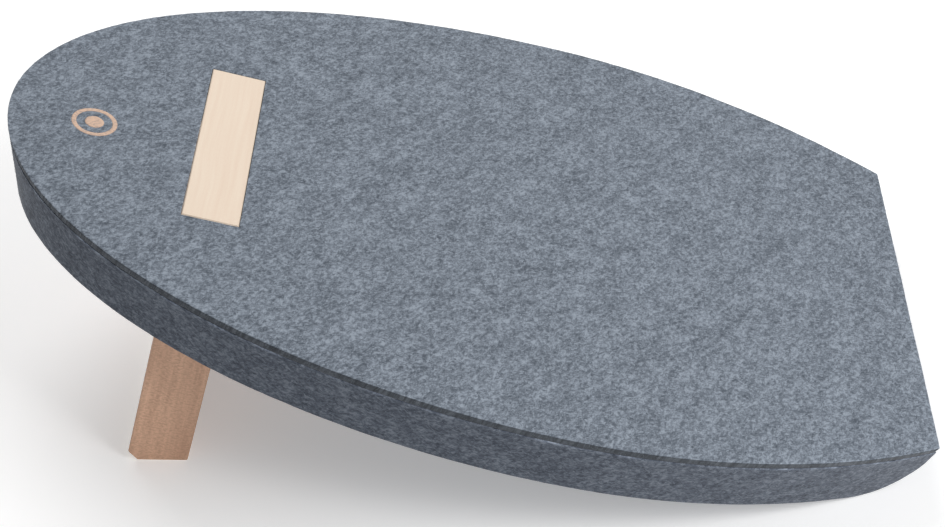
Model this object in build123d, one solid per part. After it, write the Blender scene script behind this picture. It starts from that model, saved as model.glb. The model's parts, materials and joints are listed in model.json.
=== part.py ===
"""Felt-covered foot board that slopes down from a plank leg to its own rounded heel.

Everything but the finished position is worked out in the board's own frame: x from the nose to
the tail along the top face, y across, z square to the top face, with the top face at z = 0.
stand() then tilts the board and puts its lowest points on z = 0 of the part's frame.
"""

from build123d import *
import math
import os

# ---- Board, felt to felt (mm, degrees)
board_length = 500.0
board_width = 348.0
tail_width = 241.0
widest_share = 0.6  # nose to the widest place, as a share of the length
board_thickness = 40.0
side_undercut = 10.0  # lean of the side wall, in from top to bottom
heel_radius = 34.0
board_tilt = 15.0

# ---- Layers
top_felt_thickness = 5.0
top_felt_bevel = 1.6  # how far the cut edge of the top felt slopes in
felt_thickness = 3.0  # side band and underside
deck_thickness = 9.0
base_thickness = 6.0

# ---- Frame inside
rail_width = 22.0
cross_rail_width = 25.0
stringer_width = 20.0
tail_block_length = 60.0
dowel_diameter = 8.0
dowel_length = 30.0

# ---- Plank leg
leg_station = 114.0  # nose to the middle of the tenon
plank_thickness = 31.5
plank_width = 210.0
tenon_thickness = 29.5  # flush with the plank's nose side, cut back on its tail side
tenon_width = 135.0
tenon_clearance = 0.3  # each side, tenon to mortise
housing_clearance = 0.5  # each side, plank to the underside felt
plank_arris = 1.0
tenon_arris = 0.5
foot_chamfer = 6.0

# ---- Rubber grips
grip_proud = 0.5
heel_grip_width = 200.0
heel_grip_half_angle = 14.0
foot_grip_width = 190.0
foot_grip_length = 14.0
foot_grip_depth = 2.5

# ---- Countersunk screws
screw_diameter = 4.0
screw_head_diameter = 8.0
screw_head_height = 2.4
screw_point_length = 4.0
screw_clearance = 0.05
deck_screw_margin = 2.0  # point of a deck screw to the base panel
base_screw_bite = 10.0  # length of a base screw in the rail
side_deck_screw_stations = (120.0, 210.0, 300.0, 390.0)
side_base_screw_stations = (165.0, 255.0, 345.0, 420.0)
nose_base_screw_station = 32.0
tail_screw_spacing = 75.0

# ---- Printed mark
mark_station = 45.0
mark_offset = -7.0
mark_radius = 12.0
mark_ring_width = 2.5
mark_dot_radius = 5.0
mark_depth = 0.4

# ---- Levels and stations that follow from the sizes above
deck_top = -top_felt_thickness
frame_top = deck_top - deck_thickness
underside = -board_thickness
base_bottom = underside + felt_thickness
base_top = base_bottom + base_thickness
frame_middle = (frame_top + base_top) / 2
deck_screw_length = deck_top - base_top - deck_screw_margin
base_screw_length = base_thickness + base_screw_bite
half_width = board_width / 2
widest_station = widest_share * board_length
side_run = board_length - widest_station
side_drop = half_width - tail_width / 2
side_radius = (side_run**2 + side_drop**2) / (2 * side_drop)
tail_overrun = side_undercut + felt_thickness + rail_width
heel_centre_x = board_length - heel_radius
heel_centre_z = underside + heel_radius
tenon_front = leg_station - tenon_thickness / 2
tenon_rear = leg_station + tenon_thickness / 2
plank_middle = tenon_front + plank_thickness / 2
mortise_front = tenon_front - tenon_clearance
mortise_rear = tenon_rear + tenon_clearance
mortise_half = tenon_width / 2 + tenon_clearance
front_rail_start = mortise_front - cross_rail_width
rear_rail_end = mortise_rear + cross_rail_width
tail_block_start = board_length - tail_block_length
tilt_sine = math.sin(math.radians(board_tilt))
tilt_cosine = math.cos(math.radians(board_tilt))
stand_height = heel_centre_x * tilt_sine - heel_centre_z * tilt_cosine + heel_radius + grip_proud
front_reach = min(0.0, side_undercut * tilt_cosine + underside * tilt_sine)
rear_reach = board_length * tilt_cosine
stand_shift = -(front_reach + rear_reach) / 2
reach = 2 * board_length  # longer than anything in the object, for cutting blocks


# ---- Shared geometry
def wall_lean(z):
    """How far the side wall has leaned in at depth z."""
    return side_undercut * -z / board_thickness


def edge_y(x, inset):
    """Half width of the plan outline at station x, with the outline moved in by inset."""
    from_widest = x - widest_station
    if from_widest < 0:
        nose_half_axis = widest_station - inset
        return (half_width - inset) * math.sqrt(1 - (from_widest / nose_half_axis) ** 2)
    return half_width - side_radius + math.sqrt((side_radius - inset) ** 2 - from_widest**2)


def plan_outline(inset, z):
    """Plan of the board at depth z: half an ellipse and two arcs, run on past the tail.

    The arcs of every inset share their centre and angles, so that slabs cut from one wall meet
    face to face.
    """
    radius = side_radius - inset
    arc_centre_y = half_width - side_radius
    end_angle = math.degrees(math.acos((side_run + tail_overrun) / side_radius))
    nose = EllipticalCenterArc(
        (widest_station, 0),
        widest_station - inset,
        half_width - inset,
        start_angle=90,
        arc_size=180,
    )
    right_side = CenterArc((widest_station, arc_centre_y), radius, end_angle, 90 - end_angle)
    left_side = CenterArc((widest_station, -arc_centre_y), radius, -90, 90 - end_angle)
    tail = Line(left_side @ 1, right_side @ 0)
    return Pos(0, 0, z) * make_face([right_side, nose, left_side, tail])


def heel_envelope(skin):
    """Board's side view moved in by skin at the tail, heel and underside, as a wide prism."""
    tail_x = board_length - skin
    radius = heel_radius - skin
    floor_z = heel_centre_z - radius
    above = top_felt_thickness
    outline = [
        Line((heel_centre_x, floor_z), (-heel_radius, floor_z)),
        Line((-heel_radius, floor_z), (-heel_radius, above)),
        Line((-heel_radius, above), (tail_x, above)),
        Line((tail_x, above), (tail_x, heel_centre_z)),
        CenterArc((heel_centre_x, heel_centre_z), radius, -90, 90),
    ]
    return extrude(Plane.XZ * make_face(outline), amount=board_width, both=True)


def slab(top, bottom, inset, skin):
    """Slice of the board between two depths, wall moved in by inset and heel by skin."""
    levels = [plan_outline(inset + wall_lean(z), z) for z in (top, bottom)]
    return loft(levels, ruled=True) & heel_envelope(skin)


def block(x_range, y_range, z_range):
    """Box between the given limits."""
    size = [high - low for low, high in (x_range, y_range, z_range)]
    middle = [(high + low) / 2 for low, high in (x_range, y_range, z_range)]
    return Pos(*middle) * Box(*size)


def stations(start, end):
    """Everything between two stations along the board."""
    return block((start, end), (-reach, reach), (-reach, reach))


def mortise():
    """Slot for the tenon, right through the board."""
    return block((mortise_front, mortise_rear), (-mortise_half, mortise_half), (-reach, reach))


def frame_interior():
    """Space inside the bent rails."""
    return slab(frame_top, base_top, felt_thickness + rail_width, felt_thickness)


# ---- Screws and dowels
def screw(length, play=0.0):
    """Countersunk screw, head up at z = 0; play widens it into its own hole."""
    head = screw_head_diameter / 2 + play
    shank = screw_diameter / 2 + play
    outline = Polyline(
        (0, 0),
        (head, 0),
        (shank, -screw_head_height),
        (shank, screw_point_length - length - play),
        (0, -length - play),
        close=True,
    )
    return revolve(Plane.XZ * make_face(outline), Axis.Z)


def side_screw_places(side_stations, z):
    """Screw places along the middle of both side rails at depth z."""
    inset = felt_thickness + rail_width / 2 + wall_lean(frame_middle)
    return [(x, side * edge_y(x, inset), z) for x in side_stations for side in (-1, 1)]


def deck_screw_places():
    """Screws of the deck: both side rails, the nose rail and the tail block."""
    nose_x = felt_thickness + rail_width / 2 + wall_lean(frame_middle)
    tail_x = board_length - tail_block_length / 2
    places = side_screw_places(side_deck_screw_stations, deck_top)
    places.append((nose_x, 0, deck_top))
    places += [(tail_x, count * tail_screw_spacing, deck_top) for count in (-1, 0, 1)]
    return places


def base_screw_places():
    """Screws of the base: both side rails and the two arms of the nose rail."""
    return side_screw_places((nose_base_screw_station, *side_base_screw_stations), base_bottom)


def deck_screw_group(play=0.0):
    """Every deck screw, or with play every hole for one."""
    return [Pos(*place) * screw(deck_screw_length, play) for place in deck_screw_places()]


def base_screw_group(play=0.0):
    """Every base screw, driven from below, or with play every hole for one."""
    turned = Rot(180, 0, 0) * screw(base_screw_length, play)
    return [Pos(*place) * turned for place in base_screw_places()]


def dowel_group(play=0.0):
    """Dowels across the joints of the cross rails with the side rails."""
    radius = dowel_diameter / 2 + play
    pin = Rot(90, 0, 0) * Cylinder(radius, dowel_length + 2 * play)
    inset = felt_thickness + rail_width + wall_lean(frame_middle)
    rail_middles = (mortise_front - cross_rail_width / 2, mortise_rear + cross_rail_width / 2)
    return [
        Pos(x, side * edge_y(x, inset), frame_middle) * pin
        for x in rail_middles
        for side in (-1, 1)
    ]


def cut_all(solid, tools):
    """Solid less each tool in turn."""
    for tool in tools:
        solid = solid - tool
    return solid


# ---- Felt and rubber
def mark_shape():
    """Ring and dot pressed into the felt near the nose."""
    ring = Cylinder(mark_radius, mark_depth) - Cylinder(mark_radius - mark_ring_width, mark_depth)
    shape = ring + Cylinder(mark_dot_radius, mark_depth)
    return Pos(mark_station, mark_offset, -mark_depth / 2) * shape


def top_felt():
    """Thick felt on the deck, its cut edge sloping in below."""
    levels = [plan_outline(0, 0), plan_outline(top_felt_bevel, deck_top)]
    sheet = loft(levels, ruled=True) & heel_envelope(0)
    return sheet - mortise() - mark_shape()


def rail_felt():
    """Felt band round the side wall, open at the tail."""
    return slab(deck_top, underside, 0, 0) - slab(deck_top, underside, felt_thickness, 0)


def heel_grip():
    """Rubber strip let into the heel along its floor contact."""
    start = board_tilt - 90 - heel_grip_half_angle
    sweep = 2 * heel_grip_half_angle
    wedge = [
        CenterArc((0, 0), heel_radius + grip_proud, start, sweep),
        CenterArc((0, 0), heel_radius - felt_thickness, start, sweep),
    ]
    ends = [Line(wedge[0] @ place, wedge[1] @ place) for place in (0, 1)]
    section = Pos(heel_centre_x, heel_centre_z) * make_face(wedge + ends)
    return extrude(Plane.XZ * section, amount=heel_grip_width / 2, both=True)


def base_felt():
    """Felt under the board and up round the heel, cut out for the plank and the heel grip."""
    inner = slab(deck_top, underside, felt_thickness, 0)
    sheet = inner - heel_envelope(felt_thickness)
    half_thickness = plank_thickness / 2 + housing_clearance
    half_plank = plank_width / 2 + housing_clearance
    housing = block(
        (plank_middle - half_thickness, plank_middle + half_thickness),
        (-half_plank, half_plank),
        (-reach, 0),
    )
    return sheet - housing - heel_grip()


# ---- Panels and frame
def deck_panel():
    """Plywood under the top felt."""
    panel = slab(deck_top, frame_top, felt_thickness, felt_thickness) - mortise()
    return cut_all(panel, deck_screw_group(screw_clearance))


def base_panel():
    """Plywood that the plank's shoulders bear on."""
    panel = slab(base_top, base_bottom, felt_thickness, felt_thickness)
    panel = panel & stations(-reach, tail_block_start)
    return cut_all(panel - mortise(), base_screw_group(screw_clearance))


def bent_rails():
    """Nose rail and both side rails, bent to the plan and leaning with the wall."""
    ring = slab(frame_top, base_top, felt_thickness, felt_thickness) - frame_interior()
    holes = deck_screw_group(screw_clearance) + base_screw_group(screw_clearance)
    holes += dowel_group(screw_clearance)
    ring = cut_all(ring, holes)
    sides = ring & stations(front_rail_start, tail_block_start)
    left_half = block((-reach, reach), (-reach, 0), (-reach, reach))
    return {
        "nose_rail": ring & stations(-reach, front_rail_start),
        "rail_left": sides & left_half,
        "rail_right": sides - left_half,
    }


def cross_rail(start):
    """Bar across the board beside the mortise."""
    bar = frame_interior() & stations(start, start + cross_rail_width)
    return cut_all(bar, dowel_group(screw_clearance))


def mortise_cheek(side):
    """Block between the cross rails that closes one end of the mortise."""
    reach_y = sorted((side * mortise_half, side * reach))
    return frame_interior() & block((mortise_front, mortise_rear), reach_y, (-reach, reach))


def stringer():
    """Spine from the rear cross rail to the tail block."""
    half = stringer_width / 2
    return block((rear_rail_end, tail_block_start), (-half, half), (base_top, frame_top))


def tail_block():
    """Solid tail with the rounded heel."""
    tail = slab(frame_top, base_bottom, felt_thickness, felt_thickness)
    tail = tail & stations(tail_block_start, reach)
    return cut_all(tail, deck_screw_group(screw_clearance))


def foam_core(start, end, y_range):
    """Light infill between two stations."""
    return frame_interior() & block((start, end), y_range, (-reach, reach))


# ---- Plank leg
def plank():
    """Plank with its tenon and shoulders, still running on past the floor."""
    plank_x = (tenon_front, tenon_front + plank_thickness)
    wide = block(plank_x, (-plank_width / 2, plank_width / 2), (-reach, base_bottom))
    tenon_x = (tenon_front, tenon_rear)
    tenon = block(tenon_x, (-tenon_width / 2, tenon_width / 2), (base_bottom, 0))
    tenon = chamfer(tenon.faces().sort_by(Axis.Z)[-1].edges(), tenon_arris)
    return wide + tenon


def stand(shape):
    """Board frame to part frame: tilt, lift onto the floor, centre along x."""
    return Pos(stand_shift, 0, stand_height) * Rot(0, board_tilt, 0) * shape


def foot_grip():
    """Rubber strip let into the plank's foot, in the part frame."""
    floor_depth = (plank_middle * tilt_sine - stand_height) / tilt_cosine
    foot_x = plank_middle * tilt_cosine + floor_depth * tilt_sine + stand_shift
    middle_x = foot_x + foot_chamfer / 2
    half_length = foot_grip_length / 2
    half_width_y = foot_grip_width / 2
    return block(
        (middle_x - half_length, middle_x + half_length),
        (-half_width_y, half_width_y),
        (0, grip_proud + foot_grip_depth),
    )


def leg_plank():
    """Finished leg in the part frame: foot cut level, its nose-side edge chamfered."""
    leg = stand(plank()) & block((-reach, reach), (-reach, reach), (grip_proud, reach))
    foot_edges = leg.edges().filter_by(Axis.Y).group_by(Axis.Z)[0]
    leg = chamfer(foot_edges.sort_by(Axis.X)[0], foot_chamfer)
    along_plank = Axis((0, 0, 0), (tilt_sine, 0, tilt_cosine))
    upright_edges = leg.edges().filter_by(along_plank).sort_by(SortBy.LENGTH)[-4:]
    return fillet(upright_edges, plank_arris) - foot_grip()


# ---- Assembly
def board_pieces():
    """Every piece of the board, in the board frame."""
    half = stringer_width / 2
    pieces = {
        "top_felt": top_felt(),
        "top_mark": mark_shape(),
        "rail_felt": rail_felt(),
        "base_felt": base_felt(),
        "deck_panel": deck_panel(),
        "base_panel": base_panel(),
        "cross_rail_front": cross_rail(front_rail_start),
        "cross_rail_rear": cross_rail(mortise_rear),
        "mortise_cheek_left": mortise_cheek(-1),
        "mortise_cheek_right": mortise_cheek(1),
        "stringer": stringer(),
        "tail_block": tail_block(),
        "core_front": foam_core(-reach, front_rail_start, (-reach, reach)),
        "core_rear_left": foam_core(rear_rail_end, tail_block_start, (-reach, -half)),
        "core_rear_right": foam_core(rear_rail_end, tail_block_start, (half, reach)),
        "deck_screws": Compound(deck_screw_group()),
        "base_screws": Compound(base_screw_group()),
        "frame_dowels": Compound(dowel_group()),
        "heel_grip": heel_grip(),
    }
    pieces.update(bent_rails())
    return pieces


def main():
    """Write one STEP file for each piece."""
    pieces = {name: stand(shape) for name, shape in board_pieces().items()}
    pieces["leg_plank"] = leg_plank()
    pieces["foot_grip"] = foot_grip()
    os.makedirs("parts", exist_ok=True)
    for name, shape in pieces.items():
        export_step(shape, f"parts/{name}.step")


if __name__ == "__main__":
    main()
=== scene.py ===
import json
import logging
import math
import random
from collections.abc import Callable
from collections.abc import Iterable
from dataclasses import dataclass
from dataclasses import field
from enum import Enum
from functools import reduce

import bmesh
import bpy
from mathutils import Matrix
from mathutils import Vector
from mathutils import noise

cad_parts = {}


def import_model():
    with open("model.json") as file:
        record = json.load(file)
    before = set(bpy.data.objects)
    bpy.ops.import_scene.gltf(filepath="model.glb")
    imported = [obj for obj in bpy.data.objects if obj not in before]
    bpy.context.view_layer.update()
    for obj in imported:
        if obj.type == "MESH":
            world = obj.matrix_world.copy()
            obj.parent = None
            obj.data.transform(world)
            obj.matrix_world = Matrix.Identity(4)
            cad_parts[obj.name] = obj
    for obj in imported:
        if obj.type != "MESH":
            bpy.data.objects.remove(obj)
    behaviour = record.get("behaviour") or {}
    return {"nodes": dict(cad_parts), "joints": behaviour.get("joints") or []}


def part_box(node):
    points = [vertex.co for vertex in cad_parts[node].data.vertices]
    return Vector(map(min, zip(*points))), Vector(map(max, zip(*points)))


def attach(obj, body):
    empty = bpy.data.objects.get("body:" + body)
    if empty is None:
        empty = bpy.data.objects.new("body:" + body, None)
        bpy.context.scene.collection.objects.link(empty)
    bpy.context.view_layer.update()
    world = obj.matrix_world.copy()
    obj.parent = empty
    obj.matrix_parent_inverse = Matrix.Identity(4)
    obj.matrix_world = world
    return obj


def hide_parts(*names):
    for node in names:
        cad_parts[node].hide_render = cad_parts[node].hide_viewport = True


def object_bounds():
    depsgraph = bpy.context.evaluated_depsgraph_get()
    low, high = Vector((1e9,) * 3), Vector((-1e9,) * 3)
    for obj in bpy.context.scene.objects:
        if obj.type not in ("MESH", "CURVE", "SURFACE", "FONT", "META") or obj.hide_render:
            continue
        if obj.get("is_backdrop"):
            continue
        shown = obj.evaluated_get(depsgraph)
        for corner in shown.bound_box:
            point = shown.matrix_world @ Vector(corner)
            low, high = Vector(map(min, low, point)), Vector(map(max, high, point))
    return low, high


"""Felt-covered foot board on a plank leg: felt, print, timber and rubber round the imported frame.

The felt pieces are worked out in the board's own frame, where x runs from the nose to the tail
along the top face, y across and z square to the top face, and are then laid into the row frame by
BoardPlace.matrix. Lengths are in metres.
"""

LOG = logging.getLogger("foot_board")
MILLIMETRE = 0.001
FELT_UV = "felt_lay"
# Per-vert lightness of the felt. It carries painted shade down the top felt's cut and a painted
# highlight along the side band's ledge.
FELT_TONE = "felt_tone"


# ---------------------------------------------------------------------------------------------
# Where the board lies, and its shape
# ---------------------------------------------------------------------------------------------
@dataclass(frozen=True)
class BoardPlace:
    """Place of the board in the row frame.

    Attributes:
        nose: the nose point of the top face.
        tilt: slope of the board, in radians, nose up.
        length: nose to tail along the top face.
        width: widest width of the top face.
    """

    nose: Vector
    tilt: float
    length: float
    width: float

    @classmethod
    def from_frame(cls, joint: dict) -> "BoardPlace":
        """Read the place from the top felt's box and the direction in which the leg pulls out.

        Args:
            joint: the leg's slide joint, whose axis is square to the board and points down.

        Returns:
            The board's place.
        """
        low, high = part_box("top_felt")
        tilt = math.asin(-joint["axis"][0])
        length = (high.x - low.x) / math.cos(tilt)
        return cls(Vector((low.x, 0.0, high.z)), tilt, length, high.y - low.y)

    @property
    def turn(self) -> Matrix:
        """Turn from the board's frame to the row frame."""
        return Matrix.Rotation(self.tilt, 4, "Y")

    @property
    def matrix(self) -> Matrix:
        """Board's frame to row frame."""
        return Matrix.Translation(self.nose) @ self.turn


@dataclass(frozen=True)
class BoardPlan:
    """Plan outline and side view of the board, in its own frame.

    Attributes:
        length: nose to tail.
        width: width at the widest place.
        tail_width: width of the straight tail.
        widest_share: nose to the widest place, as a share of the length.
        thickness: felt to felt.
        undercut: lean of the side wall, in from top to bottom.
        heel_radius: radius of the rounded heel.
    """

    length: float
    width: float
    tail_width: float = 0.241
    widest_share: float = 0.6
    thickness: float = 0.040
    undercut: float = 0.010
    heel_radius: float = 0.034

    @property
    def widest(self) -> float:
        """Station of the widest place."""
        return self.widest_share * self.length

    @property
    def side_radius(self) -> float:
        """Plan radius of each side behind the widest place."""
        run = self.length - self.widest
        drop = (self.width - self.tail_width) / 2
        return (run * run + drop * drop) / (2 * drop)

    @property
    def heel_x(self) -> float:
        """Station of the heel's centre."""
        return self.length - self.heel_radius

    @property
    def heel_z(self) -> float:
        """Depth of the heel's centre."""
        return self.heel_radius - self.thickness

    def lean(self, z: float) -> float:
        """How far the side wall has leaned in at depth z."""
        return self.undercut * -z / self.thickness

    def edge(self, x: float, inset: float) -> float:
        """Half width at station x with the outline moved in by inset."""
        from_widest = x - self.widest
        half = self.width / 2
        if from_widest < 0.0:
            along = from_widest / (self.widest - inset)
            return (half - inset) * math.sqrt(max(0.0, 1.0 - along * along))
        radius = self.side_radius - inset
        return half - self.side_radius + math.sqrt(radius * radius - from_widest * from_widest)

    def snap(self, x: float, y: float, inset: float) -> tuple[float, float]:
        """Nearest place, seen from the middle of its curve, on the outline moved in by inset."""
        side = -1.0 if y < 0.0 else 1.0
        if x < self.widest:
            a = self.widest - inset
            b = self.width / 2 - inset
            out = Vector(((x - self.widest) / a, y / b))
            out.normalize()
            return self.widest + a * out.x, b * out.y
        centre_y = side * (self.width / 2 - self.side_radius)
        out = Vector((x - self.widest, y - centre_y))
        out.normalize()
        radius = self.side_radius - inset
        return self.widest + radius * out.x, centre_y + radius * out.y

    def bottom(self, x: float, skin: float = 0.0) -> float:
        """Depth of the underside at station x, moved in by skin."""
        radius = self.heel_radius - skin
        past = x - self.heel_x
        if past <= 0.0:
            return self.heel_z - radius
        return self.heel_z - math.sqrt(max(0.0, radius * radius - past * past))

    def perimeter(self, inset: float, pitch: float) -> list[tuple[float, float, float]]:
        """Outline from the tail's near corner round the nose to its far corner.

        Args:
            inset: how far the outline is moved in.
            pitch: distance between neighbouring places.

        Returns:
            Evenly spaced places as (x, y, length run).
        """
        fine = []
        steps = 4000
        tail_angle = math.asin((self.length - self.widest) / self.side_radius)
        quarter = math.pi / 2
        for step in range(steps + 1):
            angle = -(quarter + tail_angle) + step * (math.pi + 2 * tail_angle) / steps
            fine.append(self.around(angle, inset))
        run = [0.0]
        for before, after in zip(fine, fine[1:]):
            run.append(run[-1] + math.dist(before, after))
        count = round(run[-1] / pitch)
        places = []
        index = 0
        for step in range(count + 1):
            wanted = run[-1] * step / count
            while index < steps - 1 and run[index + 1] < wanted:
                index += 1
            share = (wanted - run[index]) / (run[index + 1] - run[index])
            before, after = fine[index], fine[index + 1]
            x = before[0] + share * (after[0] - before[0])
            y = before[1] + share * (after[1] - before[1])
            places.append((x, y, wanted))
        return places

    def around(self, angle: float, inset: float) -> tuple[float, float]:
        """Place on the outline at an angle from the nose, negative on the near side."""
        quarter = math.pi / 2
        if abs(angle) <= quarter:
            x = self.widest - (self.widest - inset) * math.cos(angle)
            return x, (self.width / 2 - inset) * math.sin(angle)
        side = 1.0 if angle > 0.0 else -1.0
        beyond = abs(angle) - quarter
        radius = self.side_radius - inset
        x = self.widest + radius * math.sin(beyond)
        return x, side * (self.width / 2 - self.side_radius + radius * math.cos(beyond))


@dataclass(frozen=True)
class PlankSizes:
    """Sizes of the plank leg and of the slots that it goes through.

    Attributes:
        station: nose to the middle of the tenon.
        thickness: thickness of the plank.
        width: width of the plank below its shoulders.
        tenon_thickness: thickness of the tenon, flush with the plank's nose side.
        tenon_width: width of the tenon.
        slot_play: gap from the tenon to the felt, each side.
        housing_play: gap from the plank to the underside felt, each side.
    """

    station: float = 0.114
    thickness: float = 0.0315
    width: float = 0.210
    tenon_thickness: float = 0.0295
    tenon_width: float = 0.135
    slot_play: float = 0.3 * MILLIMETRE
    housing_play: float = 0.5 * MILLIMETRE

    @property
    def middle(self) -> float:
        """Nose to the middle of the plank below its shoulders."""
        return self.station + (self.thickness - self.tenon_thickness) / 2

    def half_slot(self, grow: float = 0.0) -> tuple[float, float]:
        """Half length and half width of the tenon's slot in the top felt, made larger by grow."""
        extra = self.slot_play + grow
        return self.tenon_thickness / 2 + extra, self.tenon_width / 2 + extra

    @property
    def half_housing(self) -> tuple[float, float]:
        """Half length and half width of the opening in the underside felt."""
        return self.thickness / 2 + self.housing_play, self.width / 2 + self.housing_play


# ---------------------------------------------------------------------------------------------
# Finishes
# ---------------------------------------------------------------------------------------------
Colour = tuple[float, float, float]


class NodeTree:
    """One material's nodes, with short ways to add and join them."""

    def __init__(self, name: str) -> None:
        """Start an empty material with an output and a Principled shader."""
        self.material = bpy.data.materials.new(name)
        self.material.use_nodes = True
        self.tree = self.material.node_tree
        self.tree.nodes.clear()
        self.shader = self.add("ShaderNodeBsdfPrincipled")
        output = self.add("ShaderNodeOutputMaterial")
        self.join(self.shader.outputs["BSDF"], output.inputs["Surface"])

    def add(self, kind: str, **settings: object) -> bpy.types.Node:
        """Add a node; settings are its properties, or else its inputs by name."""
        node = self.tree.nodes.new(kind)
        for name, value in settings.items():
            if hasattr(node, name):
                setattr(node, name, value)
            else:
                node.inputs[name.replace("_", " ")].default_value = value
        return node

    def solid(self) -> bpy.types.NodeSocket:
        """Place in the row frame, for patterns that run through the solid."""
        return self.add("ShaderNodeTexCoord").outputs["Object"]

    def in_board(self, place: BoardPlace) -> bpy.types.NodeSocket:
        """Place in the board's own frame, for patterns that follow its timber."""
        back = place.turn.inverted() @ place.nose
        return self.mapped(self.solid(), turn=(0.0, -place.tilt, 0.0), shift=tuple(-back))

    def felt_lay(self) -> bpy.types.NodeSocket:
        """Place on the flat felt."""
        return self.add("ShaderNodeUVMap", uv_map=FELT_UV).outputs["UV"]

    def join(self, output: bpy.types.NodeSocket, target: bpy.types.NodeSocket) -> None:
        """Link an output to an input."""
        self.tree.links.new(output, target)

    def math(self, operation: str, first: object, second: object = 0.0) -> bpy.types.NodeSocket:
        """Number from one or two sockets or numbers."""
        node = self.add("ShaderNodeMath", operation=operation)
        for slot, value in enumerate((first, second)):
            if isinstance(value, bpy.types.NodeSocket):
                self.join(value, node.inputs[slot])
            else:
                node.inputs[slot].default_value = value
        return node.outputs[0]

    def total(self, *values: bpy.types.NodeSocket) -> bpy.types.NodeSocket:
        """Sum of several values."""
        return reduce(lambda before, value: self.math("ADD", before, value), values)

    def weighted(self, *parts: tuple[bpy.types.NodeSocket, float]) -> bpy.types.NodeSocket:
        """Sum of several values, each as a (value, weight) pair."""
        return self.total(*(self.math("MULTIPLY", value, weight) for value, weight in parts))

    def mapped(
        self,
        source: bpy.types.NodeSocket,
        scale: Colour = (1.0, 1.0, 1.0),
        turn: Colour = (0.0, 0.0, 0.0),
        shift: Colour = (0.0, 0.0, 0.0),
    ) -> bpy.types.NodeSocket:
        """Vector after a Mapping node."""
        node = self.add("ShaderNodeMapping")
        self.join(source, node.inputs["Vector"])
        node.inputs["Scale"].default_value = scale
        node.inputs["Rotation"].default_value = turn
        node.inputs["Location"].default_value = shift
        return node.outputs["Vector"]

    def cloud(
        self, source: bpy.types.NodeSocket, scale: float, detail: float = 3.0, rough: float = 0.5
    ) -> bpy.types.NodeSocket:
        """Value of a noise texture."""
        node = self.add("ShaderNodeTexNoise", Scale=scale, Detail=detail, Roughness=rough)
        self.join(source, node.inputs["Vector"])
        return node.outputs["Fac"]

    def warped(
        self, source: bpy.types.NodeSocket, scale: float, amount: float
    ) -> bpy.types.NodeSocket:
        """Vector pushed about by a noise, so that straight patterns wander."""
        node = self.add("ShaderNodeTexNoise", Scale=scale, Detail=1.0)
        self.join(source, node.inputs["Vector"])
        centred = self.add("ShaderNodeVectorMath", operation="SUBTRACT")
        self.join(node.outputs["Color"], centred.inputs[0])
        centred.inputs[1].default_value = (0.5, 0.5, 0.5)
        scaled = self.add("ShaderNodeVectorMath", operation="SCALE")
        self.join(centred.outputs[0], scaled.inputs[0])
        scaled.inputs["Scale"].default_value = amount
        total = self.add("ShaderNodeVectorMath", operation="ADD")
        self.join(source, total.inputs[0])
        self.join(scaled.outputs[0], total.inputs[1])
        return total.outputs[0]

    def ramp(
        self, value: bpy.types.NodeSocket, stops: Iterable[tuple[float, Colour]]
    ) -> bpy.types.NodeSocket:
        """Colour from a value through a list of (place, colour) stops."""
        node = self.add("ShaderNodeValToRGB")
        elements = node.color_ramp.elements
        for index, (place, colour) in enumerate(stops):
            element = elements[index] if index < 2 else elements.new(place)
            element.position = place
            element.color = (*colour, 1.0)
        self.join(value, node.inputs["Fac"])
        return node.outputs["Color"]

    def span(
        self, value: bpy.types.NodeSocket, low: float, high: float, to: tuple[float, float]
    ) -> bpy.types.NodeSocket:
        """Value from low to high stretched onto the range to, and held there."""
        node = self.add("ShaderNodeMapRange")
        self.join(value, node.inputs["Value"])
        node.inputs["From Min"].default_value = low
        node.inputs["From Max"].default_value = high
        node.inputs["To Min"].default_value = to[0]
        node.inputs["To Max"].default_value = to[1]
        return node.outputs["Result"]

    def blend(self, share: object, first: object, second: object) -> bpy.types.NodeSocket:
        """Colour mixed from two sockets or colours."""
        node = self.add("ShaderNodeMix", data_type="RGBA", blend_type="MIX")
        sockets = (node.inputs[0], node.inputs[6], node.inputs[7])
        for socket, value in zip(sockets, (share, first, second)):
            if isinstance(value, bpy.types.NodeSocket):
                self.join(value, socket)
            elif isinstance(value, tuple):
                socket.default_value = (*value, 1.0)
            else:
                socket.default_value = value
        return node.outputs[2]

    def bump(self, height: bpy.types.NodeSocket, depth: float, strength: float = 1.0) -> None:
        """Bump of that depth in metres on the shader."""
        node = self.add("ShaderNodeBump", Distance=depth, Strength=strength)
        self.join(height, node.inputs["Height"])
        self.join(node.outputs["Normal"], self.shader.inputs["Normal"])

    def finish(self, colour: bpy.types.NodeSocket, roughness: float, **constants: float) -> None:
        """Colour link and constant values of the shader's sockets."""
        self.join(colour, self.shader.inputs["Base Color"])
        self.shader.inputs["Roughness"].default_value = roughness
        for name, value in constants.items():
            self.shader.inputs[name.replace("_", " ")].default_value = value


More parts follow.
